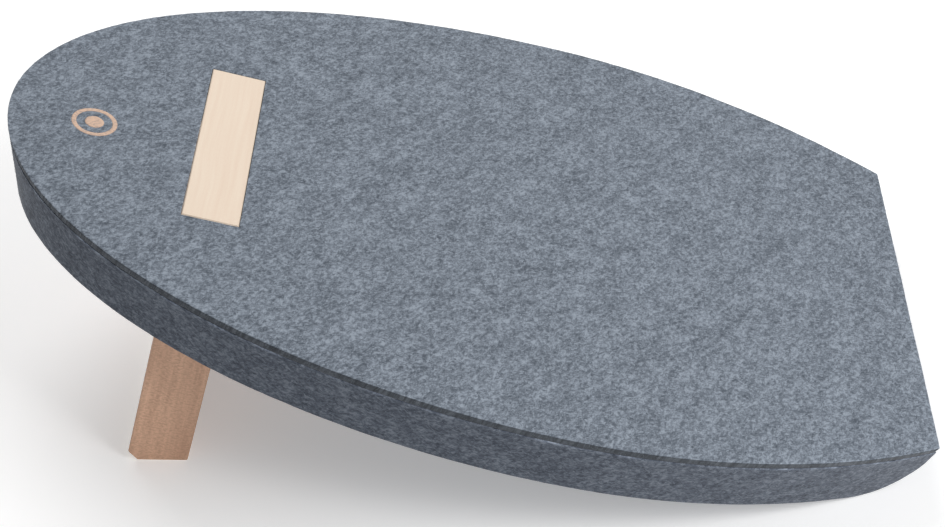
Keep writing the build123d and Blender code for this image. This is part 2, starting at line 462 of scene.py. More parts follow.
@dataclass(frozen=True)
class FeltFinish:
    """Needle felt of mixed light and dark fibres.

    Attributes:
        name: name of the material.
        dark: colour of the dark fibres.
        middle: colour of most of the felt.
        light: colour of the pale fibres.
        fleck: size of a fleck of mixed fibre.
        streak: length of a fibre bundle as a multiple of its width.
        strand: width of a fibre bundle, as a share of a fleck.
        tuft: size of a tuft, as a multiple of a fleck.
        patch: size of a paler or darker patch, as a multiple of a fleck.
        fan: turn from one layer of fibre bundles to the next, in radians.
        lay_angle: direction most fibres lie in, turned from the sheet's length, in radians.
        relief: depth of the bump.
    """

    name: str
    dark: Colour
    middle: Colour
    light: Colour
    lay_angle: float = 0.95
    fleck: float = 1.9 * MILLIMETRE
    streak: float = 3.8
    strand: float = 0.37
    tuft: float = 2.6
    patch: float = 9.0
    fan: float = 0.6
    relief: float = 0.19 * MILLIMETRE

    def strands(
        self, nodes: NodeTree, lay: bpy.types.NodeSocket, angle: float
    ) -> bpy.types.NodeSocket:
        """Fibre bundles that run at an angle across the felt."""
        across = 1.0 / (self.strand * self.fleck)
        turned = nodes.mapped(lay, turn=(0.0, 0.0, angle), shift=(angle, 2.0 * angle, 0.0))
        stretched = nodes.mapped(turned, scale=(across / self.streak, across, across))
        return nodes.cloud(stretched, 1.0, detail=1.5)

    def build(self) -> bpy.types.Material:
        """Make the material."""
        nodes = NodeTree(self.name)
        lay = nodes.felt_lay()
        wander = nodes.warped(lay, 1.0 / (self.tuft * self.fleck), 1.5 * self.fleck)
        carded = nodes.mapped(wander, turn=(0.0, 0.0, -self.lay_angle))
        fibres = self.mixed_fibres(nodes, carded, wander)
        shade = nodes.math("ADD", fibres, self.clouds(nodes, carded))
        plain = nodes.ramp(
            shade,
            [(0.37, self.dark), (0.61, self.light), (0.49, self.middle)],
        )
        pale_strands = self.strands(nodes, wander, 0.7 - self.lay_angle)
        pale = nodes.span(pale_strands, 0.63, 0.71, (0.0, 0.9))
        colour = nodes.blend(pale, plain, self.light)
        # Per-vert lightness scales the colour: painted shade down the top felt's cut, a painted
        # highlight along the side band's ledge.
        tone = nodes.add("ShaderNodeAttribute", attribute_name=FELT_TONE).outputs["Fac"]
        scaled = nodes.add("ShaderNodeVectorMath", operation="SCALE")
        nodes.join(colour, scaled.inputs[0])
        nodes.join(tone, scaled.inputs["Scale"])
        nodes.bump(fibres, self.relief)
        nodes.finish(
            scaled.outputs[0],
            0.94,
            Sheen_Weight=0.14,
            Sheen_Roughness=0.45,
            Specular_IOR_Level=0.12,
        )
        return nodes.material

    def mixed_fibres(
        self, nodes: NodeTree, carded: bpy.types.NodeSocket, wander: bpy.types.NodeSocket
    ) -> bpy.types.NodeSocket:
        """Flecks of mixed fibre, and three layers of fibre bundles that cross each other."""
        stretched = nodes.mapped(carded, scale=(0.70, 1.0, 1.0))
        flecks = nodes.cloud(stretched, 1.0 / self.fleck, detail=2.5, rough=0.72)
        layers = [
            self.strands(nodes, wander, angle - self.lay_angle)
            for angle in (-self.fan, 0.0, self.fan)
        ]
        bundles = nodes.math("MULTIPLY", nodes.total(*layers), 1.0 / len(layers))
        return nodes.weighted((flecks, 0.5), (bundles, 0.5))

    def clouds(self, nodes: NodeTree, carded: bpy.types.NodeSocket) -> bpy.types.NodeSocket:
        """Slow changes of shade, in tufts and in wider patches, above and below zero."""
        drift = nodes.mapped(carded, scale=(0.62, 1.0, 1.0))
        tufts, patches = (
            nodes.math("SUBTRACT", nodes.cloud(drift, 1.0 / (size * self.fleck), detail=2.0), 0.5)
            for size in (self.tuft, self.patch)
        )
        return nodes.weighted((tufts, 0.25), (patches, 0.14))


@dataclass(frozen=True)
class InkFinish:
    """Ink pressed into the felt, with some fibres standing through it."""

    name: str
    ink: Colour
    worn: Colour

    def build(self) -> bpy.types.Material:
        """Make the material."""
        nodes = NodeTree(self.name)
        lay = nodes.felt_lay()
        grain = nodes.cloud(nodes.mapped(lay, scale=(0.7, 1.0, 1.0)), 800.0, detail=3.0)
        wear = nodes.span(grain, 0.50, 0.66, (0.0, 0.8))
        shade = nodes.cloud(lay, 420.0, detail=2.0)
        body = nodes.blend(nodes.span(shade, 0.3, 0.7, (0.0, 0.35)), self.ink, self.worn)
        nodes.bump(grain, 0.12 * MILLIMETRE)
        nodes.finish(nodes.blend(wear, body, self.worn), 0.8, Specular_IOR_Level=0.2)
        return nodes.material


@dataclass(frozen=True)
class FibreFinish:
    """Stray fibres, some dark and some pale."""

    name: str
    dark: Colour
    pale: Colour

    def build(self) -> bpy.types.Material:
        """Make the material."""
        nodes = NodeTree(self.name)
        tone = nodes.cloud(nodes.solid(), 160.0, detail=1.0)
        colour = nodes.ramp(tone, [(0.35, self.dark), (0.65, self.pale)])
        nodes.finish(colour, 0.8, Specular_IOR_Level=0.2)
        return nodes.material


@dataclass(frozen=True)
class TimberFinish:
    """Sawn and sanded timber, grained in the solid, so that each face shows its own cut.

    Attributes:
        name: name of the material.
        pale: colour of the early wood.
        deep: colour of the late wood.
        ray: colour of the ray flecks.
        end: colour of the end grain.
        place: board frame to row frame, for the direction of the grain.
        along: direction of the grain in the board's frame.
        ring: growth of one year.
        rays: how strong the ray flecks are, from 0 to 1.
        gloss: roughness of the finish.
    """

    name: str
    pale: Colour
    deep: Colour
    ray: Colour
    end: Colour
    place: BoardPlace
    along: str = "Z"
    ring: float = 2.2 * MILLIMETRE
    rays: float = 0.6
    gloss: float = 0.5

    def build(self) -> bpy.types.Material:
        """Make the material."""
        nodes = NodeTree(self.name)
        own = nodes.in_board(self.place)
        if self.along == "X":
            own = nodes.mapped(own, turn=(0.0, math.pi / 2, 0.0))
        rings = self.rings(nodes, own)
        fibres = nodes.cloud(nodes.mapped(own, scale=(1.0, 1.0, 0.02)), 2600.0, detail=2.0)
        stain = nodes.cloud(nodes.mapped(own, scale=(1.0, 1.0, 0.16)), 120.0, detail=3.0)
        tone = nodes.weighted((rings, 0.22), (fibres, 0.40), (stain, 0.45))
        face = nodes.ramp(tone, [(0.36, self.pale), (0.72, self.deep)])
        flecks = self.ray_flecks(nodes, own)
        face = nodes.blend(nodes.math("MULTIPLY", flecks, self.rays), face, self.ray)
        cut = self.end_share(nodes)
        pores = nodes.cloud(nodes.mapped(own, scale=(1.0, 0.25, 1.0)), 1500.0, detail=2.0)
        end_tone = nodes.weighted((rings, 0.45), (pores, 0.35))
        end_deep = self.mixed(self.end, self.deep, 0.35)
        end_face = nodes.ramp(end_tone, [(0.1, self.end), (1.0, end_deep)])
        colour = nodes.blend(cut, face, end_face)
        nodes.bump(fibres, 0.05 * MILLIMETRE, 0.7)
        nodes.finish(colour, self.gloss, Specular_IOR_Level=0.35)
        return nodes.material

    @staticmethod
    def mixed(first: Colour, second: Colour, share: float) -> Colour:
        """Colour between two others."""
        return tuple(a + share * (b - a) for a, b in zip(first, second))

    def rings(self, nodes: NodeTree, own: bpy.types.NodeSocket) -> bpy.types.NodeSocket:
        """Growth lines of uneven spacing, nearly level with the plank's broad face."""
        bent = nodes.warped(nodes.mapped(own, scale=(1.0, 1.0, 0.10)), 16.0, 5 * MILLIMETRE)
        across = 1.0 / self.ring
        lines = nodes.mapped(bent, scale=(across, 0.035 * across, 0.04 * across))
        return nodes.span(nodes.cloud(lines, 1.0, detail=2.0), 0.25, 0.75, (0.0, 1.0))

    def ray_flecks(self, nodes: NodeTree, own: bpy.types.NodeSocket) -> bpy.types.NodeSocket:
        """Rays: dashes in uneven columns on the narrow face, small lenses on the broad one."""
        dashes = nodes.cloud(nodes.mapped(own, scale=(560.0, 420.0, 1050.0)), 1.0, detail=2.5)
        columns = nodes.cloud(nodes.mapped(own, scale=(330.0, 330.0, 28.0)), 1.0, detail=1.0)
        both = nodes.math("ADD", dashes, nodes.math("MULTIPLY", columns, 0.4))
        return nodes.span(both, 0.58, 0.88, (0.0, 1.0))

    def end_share(self, nodes: NodeTree) -> bpy.types.NodeSocket:
        """How far the face is an end cut: 1 where it is square to the grain."""
        way = Vector((0.0, 0.0, 1.0)) if self.along == "Z" else Vector((1.0, 0.0, 0.0))
        grain = self.place.turn.to_3x3() @ way
        normal = nodes.add("ShaderNodeNewGeometry").outputs["Normal"]
        dot = nodes.add("ShaderNodeVectorMath", operation="DOT_PRODUCT")
        nodes.join(normal, dot.inputs[0])
        dot.inputs[1].default_value = grain
        return nodes.span(nodes.math("ABSOLUTE", dot.outputs["Value"]), 0.35, 0.6, (0.0, 1.0))


@dataclass(frozen=True)
class PlyFinish:
    """Plywood: face veneer, and plies that alternate through the edge."""

    name: str
    pale: Colour
    deep: Colour
    place: BoardPlace
    ply: float = 1.5 * MILLIMETRE

    def build(self) -> bpy.types.Material:
        """Make the material."""
        nodes = NodeTree(self.name)
        own = nodes.in_board(self.place)
        split = nodes.add("ShaderNodeSeparateXYZ")
        nodes.join(own, split.inputs[0])
        layers = nodes.math("PINGPONG", split.outputs["Z"], self.ply)
        band = nodes.span(layers, 0.45 * self.ply, 0.55 * self.ply, (0.0, 1.0))
        veneer = nodes.cloud(nodes.mapped(own, scale=(0.05, 1.0, 1.0)), 700.0, detail=3.0)
        tone = nodes.weighted((band, 0.35), (veneer, 0.65))
        nodes.bump(veneer, 0.05 * MILLIMETRE)
        nodes.finish(nodes.ramp(tone, [(0.25, self.pale), (0.85, self.deep)]), 0.6)
        return nodes.material


@dataclass(frozen=True)
class RubberFinish:
    """Matt rubber with a fine moulded grain."""

    name: str
    colour: Colour
    dusty: Colour

    def build(self) -> bpy.types.Material:
        """Make the material."""
        nodes = NodeTree(self.name)
        solid = nodes.solid()
        grain = nodes.cloud(solid, 2200.0, detail=2.0)
        dust = nodes.span(nodes.cloud(solid, 90.0, detail=3.0), 0.45, 0.75, (0.0, 0.5))
        nodes.bump(grain, 0.08 * MILLIMETRE)
        nodes.finish(nodes.blend(dust, self.colour, self.dusty), 0.78, Specular_IOR_Level=0.4)
        return nodes.material


@dataclass(frozen=True)
class ZincFinish:
    """Zinc-plated screw steel."""

    name: str
    bright: Colour
    dull: Colour

    def build(self) -> bpy.types.Material:
        """Make the material."""
        nodes = NodeTree(self.name)
        solid = nodes.solid()
        spangle = nodes.cloud(solid, 900.0, detail=2.0)
        nodes.bump(spangle, 0.02 * MILLIMETRE)
        colour = nodes.ramp(spangle, [(0.35, self.dull), (0.65, self.bright)])
        nodes.finish(colour, 0.38, Metallic=1.0)
        return nodes.material


@dataclass(frozen=True)
class HoneycombFinish:
    """Paper honeycomb infill."""

    name: str
    wall: Colour
    hollow_shade: Colour
    cell: float = 12 * MILLIMETRE

    def build(self) -> bpy.types.Material:
        """Make the material."""
        nodes = NodeTree(self.name)
        solid = nodes.solid()
        cells = nodes.add("ShaderNodeTexVoronoi", feature="DISTANCE_TO_EDGE", Scale=1.0 / self.cell)
        cells.inputs["Randomness"].default_value = 0.25
        nodes.join(solid, cells.inputs["Vector"])
        wall = nodes.span(cells.outputs["Distance"], 0.03, 0.09, (0.0, 1.0))
        paper = nodes.cloud(solid, 500.0, detail=3.0)
        # The paper's mottle leans towards the hollow colour, and away from the walls the cells take
        # it in full: painted shade down the open cells.
        tone = nodes.blend(nodes.span(paper, 0.3, 0.7, (0.0, 0.3)), self.wall, self.hollow_shade)
        nodes.bump(wall, 0.4 * MILLIMETRE)
        nodes.finish(nodes.blend(wall, tone, self.hollow_shade), 0.85)
        return nodes.material


# ---------------------------------------------------------------------------------------------
# Making felt meshes
# ---------------------------------------------------------------------------------------------
def felt_relief(along: float, across: float, seed: float) -> float:
    """Height of the felt's own unevenness at a place on it, in metres.

    Args:
        along: place along the felt.
        across: place across it.
        seed: one number for each sheet, so that no two are alike.

    Returns:
        Height above the smooth sheet.
    """
    soft = noise.noise(Vector((along / 0.045, across / 0.038, seed)))
    lumps = noise.noise(Vector((along / 0.0085, across / 0.0062, seed + 7.0)))
    grains = noise.noise(Vector((along / 0.0031, across / 0.0023, seed + 19.0)))
    return MILLIMETRE * (0.16 * soft + 0.10 * lumps + 0.09 * grains)


def boundary_edges(mesh: bmesh.types.BMesh) -> list[bmesh.types.BMEdge]:
    """Edges with a face on one side only."""
    return [edge for edge in mesh.edges if edge.is_boundary]


def lay_grid(
    mesh: bmesh.types.BMesh, length: float, width: float, pitch: float, start: float = 0.0
) -> None:
    """Lay a flat grid over a rectangle that is centred across.

    Args:
        mesh: the mesh to lay it in.
        length: length of the rectangle.
        width: width of the rectangle.
        pitch: spacing of the grid.
        start: station at which the rectangle begins.
    """
    size = Matrix.Diagonal((length / 2, width / 2, 1.0, 1.0))
    middle = Matrix.Translation((length / 2 + start, 0.0, 0.0))
    along = round(length / pitch)
    across = round(width / pitch)
    bmesh.ops.create_grid(
        mesh, x_segments=along, y_segments=across, size=1.0, matrix=middle @ size
    )


def cut_away(mesh: bmesh.types.BMesh, is_gone: Callable[[float, float], bool]) -> None:
    """Delete the faces whose middle lies where the felt is gone."""
    faces = [face for face in mesh.faces if is_gone(*face.calc_center_median().xy)]
    bmesh.ops.delete(mesh, geom=faces, context="FACES")


def drawn_verts(
    mesh: bmesh.types.BMesh, edges: list[bmesh.types.BMEdge]
) -> list[bmesh.types.BMVert]:
    """Draw edges out into new faces.

    Args:
        mesh: the mesh that holds them.
        edges: boundary edges to draw from.

    Returns:
        The new verts, still where the old ones are.
    """
    made = bmesh.ops.extrude_edge_only(mesh, edges=edges)["geom"]
    return [item for item in made if isinstance(item, bmesh.types.BMVert)]


def set_lay(
    mesh: bmesh.types.BMesh, lay: Callable[[Vector], tuple[float, float]]
) -> None:
    """Give every face corner its place on the flat felt, from its place in the board's frame."""
    layer = mesh.loops.layers.uv.new(FELT_UV)
    for face in mesh.faces:
        for corner in face.loops:
            corner[layer].uv = lay(corner.vert.co)


def set_tone(mesh: bmesh.types.BMesh, tone: Callable[[bmesh.types.BMVert], float]) -> None:
    """Give every vert its lightness: 1 for the plain felt, less on a dense cut with painted shade,
    more on fluff and on a painted highlight.
    """
    layer = mesh.verts.layers.float.get(FELT_TONE) or mesh.verts.layers.float.new(FELT_TONE)
    for vert in mesh.verts:
        vert[layer] = tone(vert)


def placed_object(
    name: str, mesh: bmesh.types.BMesh, place: BoardPlace, finish: bpy.types.Material
) -> bpy.types.Object:
    """Object with the mesh laid into the row frame, shaded smooth.

    Args:
        name: name of the piece.
        mesh: its mesh in the board's frame; it is freed here.
        place: where the board lies.
        finish: material of the piece.

    Returns:
        The object, at the origin and unturned.
    """
    mesh.transform(place.matrix)
    data = bpy.data.meshes.new(name)
    mesh.to_mesh(data)
    mesh.free()
    data.materials.append(finish)
    for face in data.polygons:
        face.use_smooth = True
    piece = bpy.data.objects.new(name, data)
    bpy.context.scene.collection.objects.link(piece)
    return piece


@dataclass
class RimProfile:
    """Rounded lip and wall that a felt sheet's edge is drawn down through.

    Attributes:
        steps: (inset, depth) of each ring, from the lip down.
    """

    steps: list[tuple[float, float]]

    @classmethod
    def rounded(
        cls, lip: float, depth: float, bevel: float, rings: int = 4
    ) -> "RimProfile":
        """Lip of a radius, then a wall that slopes in by bevel to the depth."""
        steps = []
        arc_steps = 4
        for step in range(1, arc_steps + 1):
            angle = math.pi / 2 * step / arc_steps
            steps.append((lip * (1.0 - math.sin(angle)), lip * (1.0 - math.cos(angle))))
        for step in range(1, rings + 1):
            share = step / rings
            steps.append((bevel * share, lip + share * (depth - lip)))
        return cls(steps)


@dataclass
class TopFelt:
    """Thick felt sheet on the deck, with its cut edge and the slot for the tenon.

    Attributes:
        place: where the board lies.
        plan: the board's shape.
        plank: the plank that comes up through the felt.
        thickness: thickness of the felt.
        bevel: how far its cut edge slopes in.
        pitch: spacing of the mesh on the face.
        lip: radius of the cut's upper edge.
        seed: number that makes the felt's unevenness its own.
        dense_cut_shade_tone: lightness of the cut edge: the denser cut, darkened further with
            painted shade.
        arris_tone: lightness of the fluffier upper edge.
    """

    place: BoardPlace
    plan: BoardPlan
    plank: PlankSizes
    thickness: float = 0.005
    bevel: float = 1.6 * MILLIMETRE
    pitch: float = 1.7 * MILLIMETRE
    lip: float = 0.5 * MILLIMETRE
    seed: float = 3.0
    dense_cut_shade_tone: float = 0.36
    arris_tone: float = 1.12

    @property
    def slot_reach(self) -> float:
        """How far round the slot a boundary vert still counts as the slot's."""
        return 4 * self.pitch

    def tone(self, vert: bmesh.types.BMVert) -> float:
        """Lightness of the felt at a vert: dark down the cut, from the denser cut and painted
        shade, a little fluffier on its arris.
        """
        depth = -vert.co.z
        if depth <= 0.0:
            return 1.0
        if depth < self.lip:
            return self.arris_tone
        # Down the cut: the denser cut edge, darkened further with painted shade.
        return self.dense_cut_shade_tone

    def in_slot(self, x: float, y: float, grow: float) -> bool:
        """Whether a place is in the tenon's slot, made larger by grow."""
        half_x, half_y = self.plank.half_slot(grow)
        return abs(x - self.plank.station) < half_x and abs(y) < half_y

    def build(self, finish: bpy.types.Material) -> bpy.types.Object:
        """Make the sheet.

        Args:
            finish: material of the felt.

        Returns:
            The finished piece.
        """
        mesh = bmesh.new()
        lay_grid(mesh, self.plan.length, self.plan.width, self.pitch, start=-self.lip)
        cut_away(mesh, self.off_face)
        outer, slot = self.split_boundary(mesh)
        self.snap_outer(outer)
        self.snap_slot(slot)
        bmesh.ops.remove_doubles(mesh, verts=outer + slot, dist=0.3 * self.pitch)
        self.draw_outer_rim(mesh)
        self.draw_slot_rim(mesh)
        self.close_underside(mesh)
        bmesh.ops.recalc_face_normals(mesh, faces=mesh.faces)
        set_tone(mesh, self.tone)
        self.raise_relief(mesh)
        set_lay(mesh, lambda co: (co.x, co.y + 0.6 * co.z))
        return placed_object("top_felt_cover", mesh, self.place, finish)

    def off_face(self, x: float, y: float) -> bool:
        """Whether a place is outside the face or in the slot."""
        off_board = x < self.lip or abs(y) > self.plan.edge(x, self.lip)
        return off_board or self.in_slot(x, y, self.lip)

    def split_boundary(
        self, mesh: bmesh.types.BMesh
    ) -> tuple[list[bmesh.types.BMVert], list[bmesh.types.BMVert]]:
        """Verts of the outer boundary and of the slot's."""
        rim = [vert for vert in mesh.verts if vert.is_boundary]
        slot = [vert for vert in rim if self.in_slot(vert.co.x, vert.co.y, self.slot_reach)]
        outer = [vert for vert in rim if vert not in slot]
        return outer, slot

    def snap_outer(self, verts: list[bmesh.types.BMVert]) -> None:
        """Move the outer boundary onto the lip's outline."""
        for vert in verts:
            self.to_outline(vert, self.lip)

    def to_outline(self, vert: bmesh.types.BMVert, inset: float) -> None:
        """Move one vert onto the outline, or onto the straight tail."""
        tail = self.plan.length - inset
        at_tail = vert.co.x > self.plan.length - 1.5 * self.lip
        if at_tail and abs(vert.co.y) < self.plan.edge(tail, inset) - 0.4 * self.pitch:
            vert.co.x = tail
            return
        x, y = self.plan.snap(vert.co.x, vert.co.y, inset)
        if x > tail or at_tail:
            side = -1.0 if vert.co.y < 0.0 else 1.0
            x, y = tail, side * self.plan.edge(tail, inset)
        vert.co.x, vert.co.y = x, y

    def snap_slot(self, verts: list[bmesh.types.BMVert]) -> None:
        """Move the slot's boundary onto its rectangle, widened by the lip."""
        half_x, half_y = self.plank.half_slot(self.lip)
        for vert in verts:
            across = vert.co.x - self.plank.station
            over_x = abs(across) - half_x
            over_y = abs(vert.co.y) - half_y
            near_x = abs(over_x) < 0.75 * self.pitch
            near_y = abs(over_y) < 0.75 * self.pitch
            if near_x:
                vert.co.x = self.plank.station + math.copysign(half_x, across)
            if near_y:
                vert.co.y = math.copysign(half_y, vert.co.y)

    def draw_outer_rim(self, mesh: bmesh.types.BMesh) -> None:
        """Draw the outer boundary over the lip and down the sloping cut."""
        profile = RimProfile.rounded(self.lip, self.thickness, self.bevel)
        for inset, depth in profile.steps:
            edges = [e for e in boundary_edges(mesh) if not self.edge_in_slot(e)]
            for vert in drawn_verts(mesh, edges):
                self.slide_to(vert, inset, -depth)

    def slide_to(self, vert: bmesh.types.BMVert, inset: float, z: float) -> None:
        """Move a rim vert to the outline at an inset, straight in or out, at depth z."""
        tail = self.plan.length - inset
        on_tail = vert.co.x > self.plan.length - self.bevel - self.lip
        corner = abs(vert.co.y) > self.plan.edge(vert.co.x, self.bevel + self.lip)
        side = -1.0 if vert.co.y < 0.0 else 1.0
        if on_tail and corner:
            vert.co = (tail, side * self.plan.edge(tail, inset), z)
        elif on_tail:
            vert.co = (tail, vert.co.y, z)
        else:
            x, y = self.plan.snap(vert.co.x, vert.co.y, inset)
            vert.co = (x, y, z)

    def edge_in_slot(self, edge: bmesh.types.BMEdge) -> bool:
        """Whether an edge belongs to the slot."""
        first = edge.verts[0].co
        return self.in_slot(first.x, first.y, self.slot_reach)

    def draw_slot_rim(self, mesh: bmesh.types.BMesh) -> None:
        """Draw the slot's boundary over its lip and straight down."""
        profile = RimProfile.rounded(self.lip, self.thickness, 0.0, rings=2)
        centre_x = self.plank.station
        half_x, half_y = self.plank.half_slot()
        for inset, depth in profile.steps:
            edges = [e for e in boundary_edges(mesh) if self.edge_in_slot(e)]
            for vert in drawn_verts(mesh, edges):
                across = vert.co.x - centre_x
                if abs(across) > half_x - self.pitch / 4:
                    vert.co.x = centre_x + math.copysign(half_x + inset, across)
                if abs(vert.co.y) > half_y - self.pitch / 4:
                    vert.co.y = math.copysign(half_y + inset, vert.co.y)
                vert.co.z = -depth

    def close_underside(self, mesh: bmesh.types.BMesh) -> None:
        """Close the glued underside round the slot, in two halves that meet beside it."""
        rim = boundary_edges(mesh)
        outer = [edge for edge in rim if not self.edge_in_slot(edge)]
        slot = [edge for edge in rim if self.edge_in_slot(edge)]
        front, rear = [], []
        for side in (-1.0, 1.0):
            ends = []
            for loop in (outer, slot):
                near = [edge for edge in loop if (self.middle_of(edge).y < 0.0) == (side < 0.0)]
                end = self.beside_slot(near)
                front += [edge for edge in near if self.middle_of(edge).x < end.co.x]
                rear += [edge for edge in near if self.middle_of(edge).x > end.co.x]
                ends.append(end)
            seam = mesh.edges.new(ends)
            front.append(seam)
            rear.append(seam)
        for half in (front, rear):
            bmesh.ops.triangle_fill(
                mesh, use_beauty=False, use_dissolve=False, edges=half, normal=(0, 0, -1)
            )
        gaps = [edge for edge in boundary_edges(mesh) if not self.edge_in_slot(edge)]
        bmesh.ops.holes_fill(mesh, edges=gaps, sides=0)
        LOG.info("top felt closed, %d open edges left", len(boundary_edges(mesh)))

    @staticmethod
    def middle_of(edge: bmesh.types.BMEdge) -> Vector:
        """Middle of an edge."""
        return (edge.verts[0].co + edge.verts[1].co) / 2

    def beside_slot(self, edges: list[bmesh.types.BMEdge]) -> bmesh.types.BMVert:
        """The vert of some edges that lies nearest the station of the slot's middle."""
        verts = [vert for edge in edges for vert in edge.verts]
        return min(verts, key=lambda vert: abs(vert.co.x - self.plank.station))

    def raise_relief(self, mesh: bmesh.types.BMesh) -> None:
        """Lift the verts by the felt's unevenness, all but the underside's."""
        for vert in mesh.verts:
            if vert.co.z > -0.9 * self.thickness:
                height = felt_relief(vert.co.x, vert.co.y + vert.co.z, self.seed)
                vert.co += vert.normal * height


@dataclass
class RailFelt:
    """Felt band round the side wall, from one tail corner round the nose to the other.

    Attributes:
        place: where the board lies.
        plan: the board's shape.
        top: depth of the band's upper edge.
        thickness: thickness of the felt.
        pitch: spacing of the mesh.
        lip: radius of the band's edges.
        seed: number that makes the felt's unevenness its own.
        ledge_relief: how unevenly the band was trimmed along its edges.
        ledge_highlight_tone: lightness of the painted highlight along the top ledge, where it is
            faintest.
        ledge_highlight_swing: how much brighter the painted highlight gets where it is strongest.
        ledge_highlight_patch: size of the brighter and fainter stretches of the painted highlight.
    """

    place: BoardPlace
    plan: BoardPlan
    top: float = -0.005
    thickness: float = 0.003
    pitch: float = 1.7 * MILLIMETRE
    lip: float = 0.3 * MILLIMETRE
    seed: float = 31.0
    ledge_relief: float = 0.12 * MILLIMETRE
    ledge_highlight_tone: float = 1.35
    ledge_highlight_swing: float = 1.8
    ledge_highlight_patch: float = 12 * MILLIMETRE

    def section(self, height: float) -> list[tuple[float, float, float]]:
        """Section of the band as (depth into the wall, drop, how much relief), a closed loop.

        Args:
            height: height of the band there.

        Returns:
            Points from the inner top corner, out over the lip, down, and back up inside.
        """
        lip = min(self.lip, 0.3 * height)
        loop = [(self.thickness, 0.0, 0.0), (0.6 * self.thickness, 0.0, 0.3)]
        arc = [math.pi / 2 * step / 3 for step in range(4)]
        loop += [(lip * (1.0 - math.sin(a)), lip * (1.0 - math.cos(a)), 1.0) for a in arc]
        face = round((-self.plan.thickness - self.top) / -self.pitch)
        for step in range(1, face):
            loop.append((0.0, lip + (height - 2 * lip) * step / face, 1.0))
        low = [(lip * (1.0 - math.cos(a)), height - lip * (1.0 - math.sin(a)), 1.0) for a in arc]
        loop += low
        loop += [(0.6 * self.thickness, height, 0.3), (self.thickness, height, 0.0)]
        loop += [(self.thickness, height * (1.0 - step / 4), 0.0) for step in (1, 2, 3)]
        return loop

    def build(self, finish: bpy.types.Material) -> bpy.types.Object:
        """Make the band.

        Args:
            finish: material of the felt.

        Returns:
            The finished piece.
        """
        stations = self.plan.perimeter(0.0, self.pitch)
        rows = len(self.section(1.0))
        mesh = bmesh.new()
        bmesh.ops.create_grid(mesh, x_segments=len(stations) - 1, y_segments=rows, size=1.0)
        lay = mesh.loops.layers.uv.new(FELT_UV)
        mesh.verts.layers.float.new(FELT_TONE)
        placed = self.wrap(mesh, stations, rows)
        set_tone(mesh, self.tone)
        for face in mesh.faces:
            for corner in face.loops:
                corner[lay].uv = placed[corner.vert]
        bmesh.ops.remove_doubles(mesh, verts=mesh.verts, dist=0.01 * MILLIMETRE)
        bmesh.ops.holes_fill(mesh, edges=boundary_edges(mesh), sides=0)
        bmesh.ops.recalc_face_normals(mesh, faces=mesh.faces)
        return placed_object("rail_felt_cover", mesh, self.place, finish)

    def tone(self, vert: bmesh.types.BMVert) -> float:
        """Lightness of the felt at a vert: pale along the top ledge with a painted highlight, in
        stretches.
        """
        depth = self.top - vert.co.z
        if depth > 1.05 * self.lip:
            return 1.0
        # Along the ledge: a painted highlight where the band's top edge catches the light, brighter
        # in stretches.
        x, y = vert.co.x / self.ledge_highlight_patch, vert.co.y / self.ledge_highlight_patch
        ledge_highlight_noise = noise.noise(Vector((x, y, self.seed)))
        return self.ledge_highlight_tone + self.ledge_highlight_swing * max(0.0, ledge_highlight_noise)

    def wrap(
        self,
        mesh: bmesh.types.BMesh,
        stations: list[tuple[float, float, float]],
        rows: int,
    ) -> dict[bmesh.types.BMVert, tuple[float, float]]:
        """Bend the flat grid round the outline and the section; returns each vert's flat place."""
        flat = {}
        last = len(stations) - 1
        for vert in mesh.verts:
            column = round((vert.co.x + 1.0) / 2.0 * last)
            row = round((vert.co.y + 1.0) / 2.0 * rows)
            x, y, run = stations[column]
            height = self.top - self.plan.bottom(x)
            points = self.section(height)
            depth, drop, share = points[row % rows]
            flat[vert] = (run, drop + (2 * self.thickness if row == rows else depth))
            z = self.top - drop
            relief = share * felt_relief(run, drop, self.seed)
            sway = noise.noise(Vector((run / 0.02, 1.0, self.seed)))
            ledge = share * self.ledge_relief * sway
            vert.co = self.on_wall(x, y, self.plan.lean(z) + depth - relief - ledge, z)
        return flat

    def on_wall(self, x: float, y: float, inset: float, z: float) -> Vector:
        """Place on the wall at an inset, straight in from an outline place."""
        if x > self.plan.widest:
            return Vector((x, math.copysign(self.plan.edge(x, inset), y), z))
        moved_x, moved_y = self.plan.snap(x, y, inset)
        return Vector((moved_x, moved_y, z))


